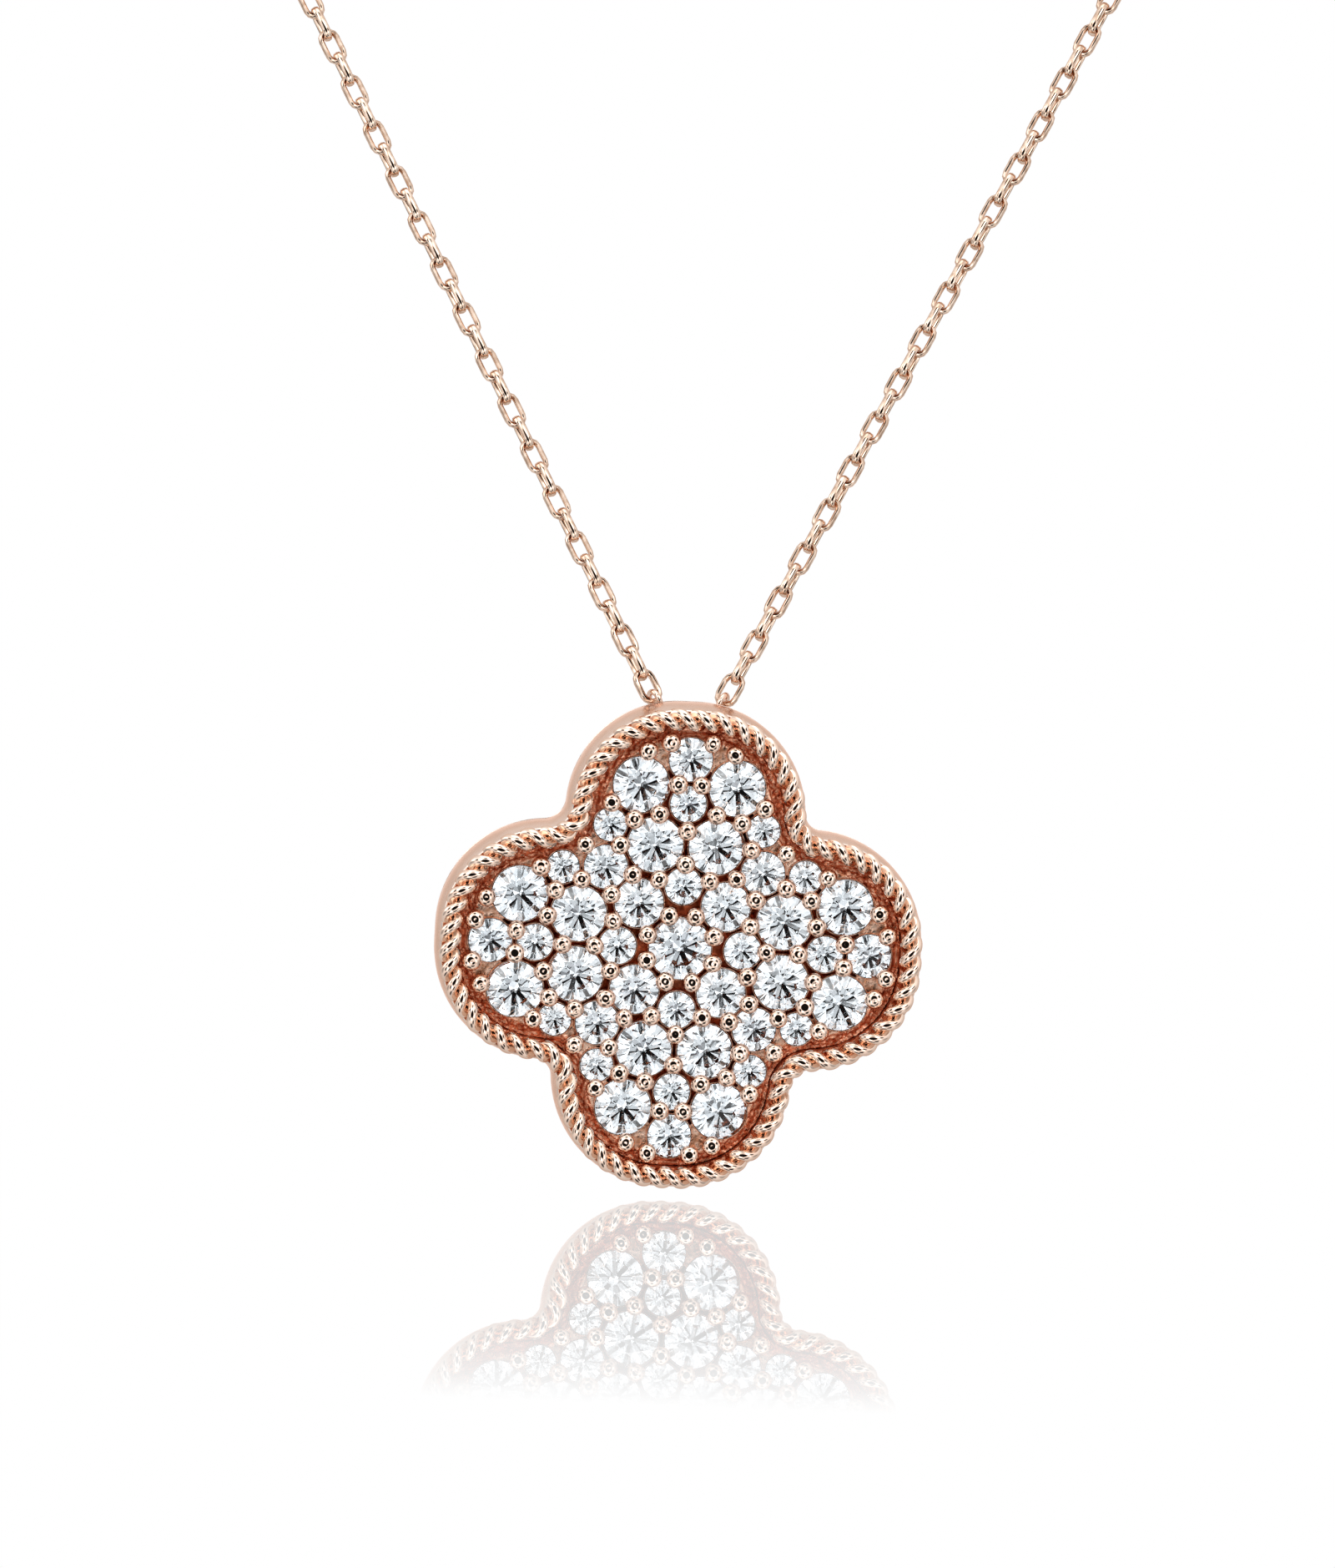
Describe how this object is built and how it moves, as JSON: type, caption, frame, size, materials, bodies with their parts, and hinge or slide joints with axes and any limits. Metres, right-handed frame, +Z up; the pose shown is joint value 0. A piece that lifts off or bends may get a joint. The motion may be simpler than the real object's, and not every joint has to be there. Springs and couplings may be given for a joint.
{
  "type": "four leaf clover pendant",
  "caption": "Four leaf clover pendant set with round stones inside a twisted rope border, hanging from two eyelets on a fine cable chain with a ring clasp.",
  "frame": {"origin": "where the clasp rests on the nape of the neck, at the front of the clasp's ring", "axes": "+Z up, the pendant's stones face -Y, +X is on the right of someone who looks at the stones"},
  "size_m": [0.109, 0.1163, 0.1319],
  "materials": {
    "rose_gold": "polished",
    "stone": "polished"
  },
  "bodies": {
    "chain": {"chain_left_front": "rose_gold", "chain_left_back": "rose_gold", "chain_right_front": "rose_gold", "chain_right_back": "rose_gold", "clasp": "rose_gold"},
    "pendant": {"setting": "rose_gold", "centre_stone": "stone", "stem_stone_1": "stone", "stem_stone_2": "stone", "stem_stone_3": "stone", "stem_stone_4": "stone", "corner_stone_1": "stone", "corner_stone_2": "stone", "corner_stone_3": "stone", "corner_stone_4": "stone", "notch_stone_1": "stone", "notch_stone_2": "stone", "notch_stone_3": "stone", "notch_stone_4": "stone", "low_stone_1a": "stone", "low_stone_1b": "stone", "low_stone_2a": "stone", "low_stone_2b": "stone", "low_stone_3a": "stone", "low_stone_3b": "stone", "low_stone_4a": "stone", "low_stone_4b": "stone", "heart_stone_1": "stone", "heart_stone_2": "stone", "heart_stone_3": "stone", "heart_stone_4": "stone", "high_stone_1a": "stone", "high_stone_1b": "stone", "high_stone_2a": "stone", "high_stone_2b": "stone", "high_stone_3a": "stone", "high_stone_3b": "stone", "high_stone_4a": "stone", "high_stone_4b": "stone", "tip_stone_1": "stone", "tip_stone_2": "stone", "tip_stone_3": "stone", "tip_stone_4": "stone", "edge_stone_1a": "stone", "edge_stone_1b": "stone", "edge_stone_2a": "stone", "edge_stone_2b": "stone", "edge_stone_3a": "stone", "edge_stone_3b": "stone", "edge_stone_4a": "stone", "edge_stone_4b": "stone"}
  },
  "joints": [
    {"name": "pendant_swing", "type": "hinge", "parent": "chain", "child": "pendant", "pos_m": [0, -0.112, -0.107], "axis": [1, 0, 0], "range_deg": [-45, 45]}
  ]
}
